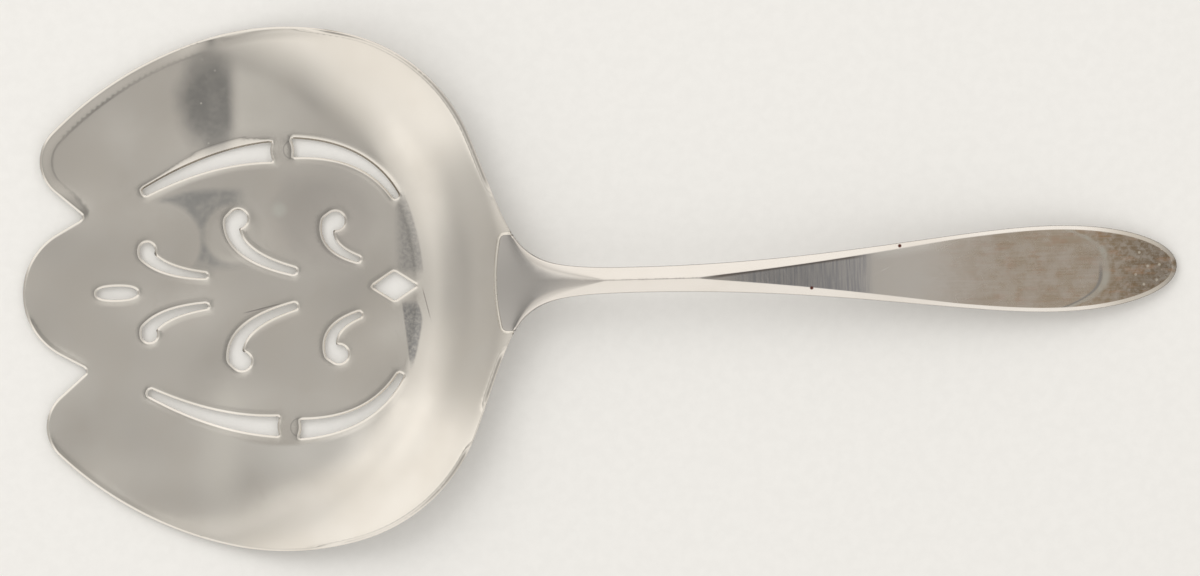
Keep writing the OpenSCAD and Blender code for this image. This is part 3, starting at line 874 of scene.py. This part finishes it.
class Silver(Nodes):
    """Used polished silver: haze, rubbing marks in two directions and fine specks, all in millimetres."""

    def __init__(self, name, colour, rough):
        self.made = bpy.data.materials.new(name)
        self.made.use_nodes = True
        super().__init__(self.made.node_tree)
        place = self.add("ShaderNodeTexCoord").outputs["Object"]
        self.place = self.add("ShaderNodeVectorMath", {0: place, 3: 1 / MM}, operation="SCALE").outputs[0]
        self.x, self.y, _ = self.parts(self.place)
        _, lean, self.rise = self.parts(self.add("ShaderNodeNewGeometry").outputs["Normal"])
        self.lean = self.size(lean)
        haze = self.between(self.noise(self.place, 0.11, 3.0), 0.35, 0.75)
        fine = self.noise(self.place, 2.6, 3.0, 0.6)
        rubbed = self.most(*[self.streaks((9.0, 0.16, 1.0), turn=turn) for turn in (24, -63)])
        rubbed = self.between(rubbed, 0.6, 0.8)
        dull = tuple(c * f for c, f in zip(colour, (0.9, 0.88, 0.85)))
        self.base = self.blend(self.times(haze, 0.5), colour, dull)
        self.coat(self.fall(self.cells(0.16), 0.012, 0.022, 0.5), (0.95, 0.93, 0.9))
        self.plain = self.base
        self.rough = rough
        for amount, added in ((haze, 0.06), (rubbed, 0.05), (fine, 0.03)):
            self.rough = self.maths("MULTIPLY_ADD", amount, added, self.rough)
        self.height = self.plus(self.times(rubbed, -0.5), self.times(fine, 0.35))

    def streaks(self, stretch, detail=2.0, rough=0.5, turn=0):
        inputs = {"Vector": self.place, "Scale": stretch, "Rotation": (0, 0, math.radians(turn))}
        mapped = self.add("ShaderNodeMapping", inputs, vector_type="TEXTURE").outputs[0]
        return self.noise(mapped, 1.0, detail, rough)

    def cells(self, scale):
        """Distance to the nearest of some scattered points."""
        return self.add("ShaderNodeTexVoronoi", {"Vector": self.place, "Scale": scale}).outputs["Distance"]

    def distance(self, centre, x=None, y=None):
        """Distance in plan from one point, with another X or Y where one is given."""
        dx = self.minus(self.x if x is None else x, centre[0])
        dy = self.minus(self.y if y is None else y, centre[1])
        return self.maths("SQRT", self.plus(self.times(dx, dx), self.times(dy, dy)))

    def zone(self, strength=1.0, x=None, y=None):
        """A place with soft limits in X and Y."""
        limits = ((self.x, x), (self.y, y))
        return self.times(strength, *[self.span(value, *ends) for value, ends in limits if ends])

    def coat(self, amount, colour):
        self.base = self.blend(amount, self.base, colour)

    def finish(self):
        """Joins the looks to the shader. Faces that look down keep the plain metal."""
        bump = self.add("ShaderNodeBump", {"Height": self.height, "Strength": 0.12, "Distance": 0.01 * MM})
        seen = self.blend(self.between(self.rise, -0.1, 0.3), self.plain, self.base)
        shader = self.tree.nodes["Principled BSDF"].inputs
        self.join(seen, shader["Base Color"])
        self.join(1.0, shader["Metallic"])
        self.join(self.rough, shader["Roughness"])
        self.join(bump.outputs[0], shader["Normal"])
        return self.made


def bowl_material():
    m = Silver("bowl_silver", colour=(0.8, 0.77, 0.72), rough=0.15)
    cloud = m.noise(m.place, 0.7, 4.0, 0.62)
    ragged = m.times(m.minus(m.noise(m.place, 0.22), 0.5), 0.6)

    # Grey stains along the foot of the back wall, below and above the diamond
    inset = m.zone(0.9, y=(-4.5, -1.0, 0.0, 1.0))
    wall_foot = m.fall(m.plus(m.distance((DISH_X, 0)), inset), 30.5, 30.8)
    slant = m.plus(m.x, m.times(m.y, 0.104))
    low = m.times(m.between(slant, 16.6, 16.9), m.zone(0.9, y=(-10.4, -8.6, -2.6, -1.6)))
    high = m.times(m.zone(x=(16.0, 17.4), y=(1.2, 2.4)), m.between(m.y, 9.0, 12.6, 0.65, 0.1))
    grain = m.between(m.noise(m.place, 2.2, 4.0, 0.7), 0.3, 0.7, 0.5, 1.0)
    m.coat(m.times(m.most(low, high), wall_foot, grain), (0.27, 0.275, 0.28))

    # Painted shade: a darker area that stands in for a dim reflection, with two rounds left out of it
    painted_shade = m.zone(x=(-13.0, -11.4, -4.0, -1.2), y=(2.0, 4.0, 11.6, 12.8))
    painted_shade = m.times(painted_shade, m.fall(m.minus(m.y, m.times(m.x, 0.28)), 14.1, 15.1))
    for centre, radius in SHADE_FREE_ROUNDS:
        painted_shade = m.times(painted_shade, m.between(m.distance(centre), radius - 0.3, radius + 0.7))
    m.coat(m.times(painted_shade, m.between(cloud, 0.3, 0.65, 0.5, 0.9)), (0.38, 0.39, 0.39))

    # Painted shade: a dark patch on the upper wing that stands in for a dark reflection, with a few real pale
    # specks in it
    painted_dark_patch = m.maths("DIVIDE", m.distance((-9.6, 23.0), x=m.times(m.x, 1.7)), 7.2)
    painted_dark_patch = m.times(m.fall(m.plus(painted_dark_patch, ragged), 0.4, 1.2), m.fall(m.x, -3.8, -2.1))
    painted_dark_patch = m.times(painted_dark_patch, m.between(cloud, 0.25, 0.6, 0.8, 0.97))
    m.coat(painted_dark_patch, (0.27, 0.27, 0.265))
    m.coat(m.times(m.fall(m.cells(0.62), 0.06, 0.12, 0.7), painted_dark_patch), (0.78, 0.76, 0.7))

    # Painted highlight: lighter metal on each wing and in a band beside the lower rear slot, standing in for
    # bright reflections
    low = m.zone(0.5, x=(-9.5, -5.0, -5.0, -1.6), y=(-28.0, -24.0, -14.0, -8.0))
    high = m.zone(0.6, x=(-3.0, -1.6, 1.0, 6.0), y=(18.0, 20.0, 26.0, 30.0))
    m.coat(m.most(low, high), (0.95, 0.92, 0.86))
    beside = m.times(m.span(m.distance((2.5, 0)), 18.7, 19.3, 20.0, 24.5), m.between(m.x, -7.0, 5.0, 0.1, 1.0))
    m.coat(m.times(beside, m.fall(m.x, 10.0, 15.0), m.fall(m.y, -12.0, -8.0)), (0.99, 0.965, 0.915))

    # Painted shade: the metal darker towards the upper side, standing in for a dimmer reflection; then a rubbed
    # round and a pale drop mark
    m.coat(m.between(m.y, -16.0, 6.0, 0.0, 0.2), (0.64, 0.61, 0.565))
    rubbed = m.plus(m.maths("DIVIDE", m.distance((7.5, 8.6)), 7.0), ragged)
    m.coat(m.fall(rubbed, 0.5, 1.1, 0.6), (0.6, 0.57, 0.535))
    m.coat(m.fall(m.distance((2.4, 9.6)), 0.3, 1.3, 0.35), (0.86, 0.9, 0.83))

    # A crease, a scratch beside the diamond, and a painted shade line round the bead on each bridge
    crease = m.size(m.minus(m.minus(m.times(m.x, 0.225), 2.3), m.y))
    crease = m.times(m.fall(crease, 0.03, 0.12, 0.55), m.zone(x=(-2.6, -1.4, 1.6, 2.6)))
    scratch = m.size(m.minus(m.times(m.y, -0.234), m.minus(m.x, 19.4)))
    scratch = m.times(m.fall(scratch, 0.03, 0.1, 0.6), m.zone(y=(-4.5, -3.0, -1.2, -0.1)))
    m.coat(m.most(crease, scratch), (0.3, 0.28, 0.27))
    line = m.size(m.minus(m.distance((4.15, 16.85), y=m.size(m.y)), 1.1))
    m.coat(m.times(m.fall(line, 0.03, 0.14, 0.35), m.fall(m.x, 3.7, 4.2)), (0.36, 0.35, 0.33))
    return m.finish()


def past_bevel(m, first, last):
    """How far a point lies past the upper bevel's start, taken as straight between two places."""
    along = np.linspace(first, last, 16)
    spread, start = np.polyfit(along, half_width(along) - bevel_width(along), 1)
    return m.minus(m.y, m.plus(m.times(m.x, spread), start))


def handle_material():
    m = Silver("handle_silver", colour=(0.79, 0.756, 0.715), rough=0.16)
    flat = m.fall(m.lean, 0.06, 0.34)
    cloud = m.between(m.noise(m.place, 0.4, 5.0, 0.65), 0.32, 0.68)

    # Painted shade on the shoulder's middle
    m.coat(m.times(m.fall(m.lean, 0.06, 0.17), m.fall(m.x, 33.0, 41.0)), (0.485, 0.47, 0.45))

    # Painted light and shade: a dark panel where the blade starts, a painted highlight beside the bevel after
    # it, and a painted dark line along the bevel
    across = m.between(m.streaks((0.22, 5.0, 1.0), 2.0, 0.6), 0.35, 0.65, 0.5, 1.0)
    m.coat(m.times(m.zone(0.78, x=(55.0, 60.0, 72.6, 74.4)), across, flat), (0.42, 0.425, 0.455))
    painted_highlight = m.between(past_bevel(m, 75, 90), -1.4, 0.1, 0.0, 0.6)
    m.coat(m.times(painted_highlight, m.zone(x=(73.5, 75.5, 80.0, 92.0)), flat), (0.96, 0.93, 0.88))
    line = m.between(past_bevel(m, 57, 72), -0.4, -0.1)
    m.coat(m.times(line, m.zone(0.8, x=(53.0, 56.0, 71.0, 74.0)), flat), (0.2, 0.16, 0.14))

    # Brown tarnish that grows towards the tip and is heavier past a bowed line
    haze = m.times(m.between(m.x, 77.0, 91.0, 0.0, 0.85), m.between(cloud, 0.0, 1.0, 0.7, 1.0))
    reach = m.plus(m.x, m.times(m.maths("POWER", m.size(m.y), 3.0), 0.045))
    speckle = m.between(m.noise(m.place, 1.3, 5.0, 0.75), 0.3, 0.62, 0.5, 1.0)
    lengthwise = m.between(m.streaks((7.0, 0.22, 1.0), 3.0, 0.6), 0.3, 0.7, 0.82, 1.0)
    tip = m.times(m.most(haze, m.times(m.between(reach, 101.8, 102.9), speckle)), lengthwise, flat)
    brown = m.blend(m.between(m.x, 98.0, 109.5), (0.43, 0.335, 0.235), (0.205, 0.143, 0.08))
    rust = m.between(m.streaks((2.5, 0.7, 1.0), 4.0, 0.6), 0.5, 0.68, 0.0, 0.6)
    brown = m.blend(rust, brown, (0.42, 0.25, 0.14))
    m.coat(tip, brown)
    m.plain = m.blend(m.times(tip, 0.6), m.plain, brown)
    m.rough = m.maths("MULTIPLY_ADD", tip, 0.12, m.rough)

    # The bowed line's pale and dark sides, bright grains at the tip, and duller bevels beside them
    pale = m.between(cloud, 0.2, 0.8, 0.25, 0.8)
    m.coat(m.times(m.span(reach, 101.7, 102.2, 102.5, 103.2), flat, pale), (0.6, 0.58, 0.52))
    dark = m.fall(m.y, -1.0, 1.0, 0.7)
    m.coat(m.times(m.span(reach, 101.4, 101.7, 101.8, 102.1), flat, dark), (0.3, 0.3, 0.3))
    grains = m.times(m.fall(m.cells(0.9), 0.1, 0.2, 0.8), m.zone(x=(103.5, 107.0)))
    m.coat(m.times(grains, flat), (0.74, 0.68, 0.58))
    m.coat(m.times(m.between(m.x, 99.0, 106.0, 0.0, 0.6), m.minus(1.0, flat)), (0.38, 0.34, 0.28))

    # Two small red-brown pits
    for pit_at in PITS:
        pit = m.fall(m.distance(pit_at), 0.14, 0.28)
        m.coat(pit, (0.12, 0.04, 0.03))
        m.rough = m.most(m.rough, m.times(pit, 0.6))
    return m.finish()


def floor_material():
    """Pale matt paper that can be looked through from below."""
    made = bpy.data.materials.new("floor_paper")
    made.use_nodes = True
    m = Nodes(made.node_tree)
    shader = m.tree.nodes["Principled BSDF"]
    fibre = m.noise(m.add("ShaderNodeTexCoord").outputs["Object"], 700.0, 3.0, 0.6)
    m.join(0.75, shader.inputs["Roughness"])
    m.join(m.blend(m.between(fibre, 0.3, 0.7), *PAPER_COLOURS), shader.inputs["Base Color"])
    behind = m.add("ShaderNodeNewGeometry").outputs["Backfacing"]
    clear = m.add("ShaderNodeBsdfTransparent").outputs[0]
    shown = m.add("ShaderNodeMixShader", {0: behind, 1: shader.outputs[0], 2: clear}).outputs[0]
    m.join(shown, m.tree.nodes["Material Output"].inputs["Surface"])
    return made


# Pieces


def bowl():
    rim = bowl_rim()
    free = resampled(np.vstack([rim[::-1], mirrored(rim[::-1])[1:]]), RIM_STEP, False)
    seat = resampled(seat_line(0, rim[-1][0]), RIM_STEP, False)[1:-1]
    loops = [[(free, True, -1), (seat, False, -1)]]
    for loop in pierced_loops():
        loops.append([(loop, True, crescent(loop))])
    edges = Edges(loops)
    radii = [*FLOOR_R + BEND_LINES, *LIP_R + BEND_LINES]
    bend = np.vstack([[DISH_X, 0] + r * heading(BEND_ANGLES) for r in radii])
    bend = bend[edges.inside(bend)]
    bend = bend[edges.nearest(bend, False)[0] > BEND_CLEAR]
    grid = open_grid(edges, OPEN_STEP, RINGS[-1] + OPEN_CLEAR)
    r = dish_radius(grid)
    grid = grid[np.minimum(np.abs(r - FLOOR_R), np.abs(r - LIP_R)) > OPEN_STEP]
    rings = ring_points(edges, RINGS)

    def top(xy, d, near):
        weight = edges.roll[near]
        slant = soft_ramp(weight * CRESCENT_W - d, CRESCENT_SOFT) * np.clip(4 * weight, 0, 1)
        pierced = roll_drop(d, PIERCED_ROLL) + CRESCENT_SLOPE * slant + chamfer_drop(d)
        return dish_top(xy) + hammered(xy) + np.where(weight < 0, rim_finish(xy, d), -pierced)

    def under(xy, d, near):
        return dish_under(xy) + round_drop(d, BOWL_UNDER_ROUND)

    return plate("bowl_sheet", edges, np.vstack([rings, bend, grid]), top, under)


def handle():
    free = np.vstack([mirrored(HANDLE_SIDE)[::-1], HANDLE_SIDE[::-1][1:]])
    free = resampled(free, RIM_STEP, False)
    seat = resampled(seat_line(SEAM_GAP, HANDLE_SIDE[0][0])[::-1], RIM_STEP, False)[1:-1]
    edges = Edges([[(free, True, 0), (seat, False, 0)]])
    rings = ring_points(edges, HANDLE_RINGS)
    width = bevel_width(edges.points[:, 0])
    lines = np.vstack([edges.points + (width + k)[:, None] * edges.inward for k in BEVEL_LINES])
    wanted = np.concatenate([width + k for k in BEVEL_LINES])
    own = edges.nearest(lines, True)[0] > OWN_SHARE * wanted
    lines = lines[np.tile(edges.free, len(BEVEL_LINES)) & own]
    lines = lines[edges.inside(lines) & (np.abs(lines[:, 1]) > LINES_CLEAR)]
    spine = np.arange(SEAM_X + 1, TIP_REACH - 1, SPINE_STEP)
    spine = np.stack([spine, np.zeros_like(spine)], axis=1)
    grid = open_grid(edges, OPEN_STEP, HANDLE_RINGS[-1] + BEND_CLEAR)
    from_bevel = np.abs(edges.nearest(grid, True)[0] - bevel_width(grid[:, 0]))
    grid = grid[(from_bevel > OPEN_STEP / 2) & (np.abs(grid[:, 1]) > OPEN_CLEAR)]

    def top(xy, d, near):
        burnish = BURNISH_SLOPE * burnished(d) * smooth_step(xy[:, 0], *BURNISH_END_X)
        return handle_top(xy) - bevel_drop(xy, d) - round_drop(d, HANDLE_TOP_ROUND) - burnish

    def under(xy, d, near):
        return handle_under(xy) + round_drop(d, HANDLE_UNDER_ROUND)

    return plate("handle_blade", edges, np.vstack([rings, lines, spine, grid]), top, under)


def tongue_edges(lap):
    """The tongue's plan, widened by a lap, from its round front to a straight back inside the handle."""
    back = SEAM_X + SEAM_GAP + TONGUE_ROOT
    front = SEAM_X + SEAM_GAP - TONGUE_LEN - lap
    a = np.radians(np.linspace(90, 0, 60))
    upper = np.stack([mix(back, front, np.cos(a)), (TONGUE_HALF + lap) * np.sin(a)], axis=1)
    line = resampled(np.vstack([upper, mirrored(upper)[1:]]), TONGUE_STEPS[0], False)
    straight = resampled(np.array([line[-1], line[0]]), TONGUE_STEPS[1], False)[1:-1]
    return Edges([[(line, True, 0), (straight, False, 0)]])


def tongue():
    """The handle's tongue, which laps under the bowl's back wall."""
    edges = tongue_edges(0)
    top_r = WALL_R + SHEET_T + SOLDER_T
    ends = [(x - DISH_X - WALL_AT[0]) / top_r for x in (SEAM_X + SEAM_GAP - TONGUE_LEN, SEAM_X + SEAM_GAP)]
    shift = (TONGUE_T[1] - TONGUE_T[0]) / (ends[1] - ends[0])
    back_r = top_r + TONGUE_T[1] - shift * ends[1]

    def top(xy, d, near):
        return dish_under(xy) - SOLDER_T

    def under(xy, d, near):
        z = WALL_AT[1] - np.sqrt(back_r**2 - (dish_radius(xy) - WALL_AT[0] - shift) ** 2)
        return z + round_drop(d, TONGUE_ROUND)

    extra = np.vstack([ring_points(edges, TONGUE_RINGS), open_grid(edges, TONGUE_STEPS[1], TONGUE_STEPS[1])])
    return plate("handle_tongue", edges, extra, top, under)


def solder_film():
    """The solder under the lap, with a small fillet round the tongue."""
    edges = tongue_edges(FILM_LAP)

    def top(xy, d, near):
        return dish_under(xy) - FILM_GAP

    def under(xy, d, near):
        return dish_under(xy) - SOLDER_T + round_drop(d, (FILM_LAP, SOLDER_T - FILM_EDGE))

    extra = np.vstack([ring_points(edges, FILM_RINGS), open_grid(edges, TONGUE_STEPS[1], OPEN_CLEAR)])
    return plate("solder_film", edges, extra, top, under)


def solder_line():
    """The line of solder across the neck, a little proud of the metal on both sides."""
    horn_x = bowl_rim()[-1][0]
    outer = resampled(seat_line(-BEAD_LAP, horn_x - BEAD_END), SOLDER_STEP, False)
    inner = resampled(seat_line(SEAM_GAP + BEAD_LAP, horn_x + BEAD_END), SOLDER_STEP, False)
    edges = Edges([[(np.vstack([outer[::-1], inner]), True, 0)]])
    half = SEAM_GAP / 2 + BEAD_LAP
    neck = neck_line()

    def top(xy, d, near):
        x, y = xy.T[:, :, None]
        from_rim = np.hypot(x - neck[:, 0], np.abs(y) - neck[:, 1]).min(axis=1)
        end = BURNISH_SLOPE * burnished(from_rim) + BEAD_END_SLOPE * soft_ramp(EDGE_W - from_rim, EDGE_SOFT)
        return dish_top(xy) + BEAD_RISE - roll_drop(d, (half, BEAD_SIDES * BEAD_RISE)) - end

    def under(xy, d, near):
        return dish_under(xy) + BEAD_FOOT

    return plate("solder_line", edges, ring_points(edges, SOLDER_RINGS), top, under)


# Stage


def world():
    """A soft dome: bright all round, grey overhead and dim below, with gaps and a few brighter places."""
    made = bpy.data.worlds.new("studio_dome")
    bpy.context.scene.world = made
    made.use_nodes = True
    m = Nodes(made.node_tree)
    x, y, z = m.parts(m.add("ShaderNodeTexCoord").outputs["Generated"])
    across = m.add("ShaderNodeCombineXYZ", {0: x, 1: y}).outputs[0]
    across = m.add("ShaderNodeVectorMath", {0: across}, operation="NORMALIZE").outputs[0]
    off = m.times(m.maths("ARCCOSINE", z), 180 / math.pi)
    ramp = m.add("ShaderNodeValToRGB", {0: m.times(off, 1 / 180)})
    elements = ramp.color_ramp.elements
    while len(elements) < len(DOME_LEVELS):
        elements.new(0.5)
    for element, (angle, level) in zip(elements, DOME_LEVELS):
        element.position = angle / 180
        element.color = (*level * DOME_TINT, 1)
    strength = 1.0
    for depth, centre, inner, outer, rise, fall in DOME_GAPS:
        toward = m.add("ShaderNodeVectorMath", {0: across, 1: (*heading(centre), 0)}, operation="DOT_PRODUCT")
        inside = m.between(toward.outputs["Value"], *np.cos(np.radians([outer, inner])))
        inside = m.times(inside, m.span(off, *rise, *fall))
        strength = m.times(m.maths("MULTIPLY_ADD", inside, -depth, 1.0), strength)
    background = m.tree.nodes["Background"].inputs
    m.join(ramp.outputs[0], background["Color"])
    m.join(strength, background["Strength"])


def lamp():
    """A soft lamp that gives the floor its shadow. The metal shows the dome only."""
    data = bpy.data.lights.new("soft_lamp", "AREA")
    data.shape = "RECTANGLE"
    data.size, data.size_y = 0.9, 0.7
    data.energy = 3.0
    data.color = (1.0, 0.98, 0.95)
    made = placed("soft_lamp", data)
    made.location = (-0.45, 0.6, 0.8)
    aim = Vector((0.03, 0, 0)) - made.location
    made.rotation_euler = aim.to_track_quat("-Z", "Y").to_euler()
    made.visible_glossy = False


def floor():
    mesh = bpy.data.meshes.new("floor")
    corners = [(FLOOR_HALF * x, FLOOR_HALF * y, FLOOR_Z) for x, y in ((-1, -1), (1, -1), (1, 1), (-1, 1))]
    mesh.from_pydata(corners, [], [(0, 1, 2, 3)])
    mesh.materials.append(floor_material())
    made = placed("floor", mesh)
    made.visible_glossy = False


def camera():
    data = bpy.data.cameras.new("camera")
    data.sensor_width = SENSOR_W_MM
    data.lens = SENSOR_W_MM * VIEW_DISTANCE / (IMAGE_W_MM * MM)
    data.clip_start, data.clip_end = 0.01, 50
    made = placed("camera", data)
    made.location = (*VIEW_CENTRE, VIEW_DISTANCE)
    made.rotation_euler = (0, 0, math.radians(VIEW_TURN))
    bpy.context.scene.camera = made


def main():
    bpy.context.scene.view_settings.view_transform = "Standard"
    camera()
    world()
    lamp()
    floor()
    finishes = {
        "bowl_silver": bowl_material(),
        "handle_silver": handle_material(),
        "silver_solder": Silver("silver_solder", colour=(0.86, 0.83, 0.77), rough=0.2).finish(),
    }
    for piece, cad_node, slot in (
        (bowl(), "bowl", "bowl_silver"),
        (handle(), "handle", "handle_silver"),
        (tongue(), "handle", "handle_silver"),
        (solder_line(), "solder_seam", "silver_solder"),
        (solder_film(), "solder_seam", "silver_solder"),
    ):
        piece.data.materials.append(finishes[slot])
        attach(piece, "root")
        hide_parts(cad_node)


main()
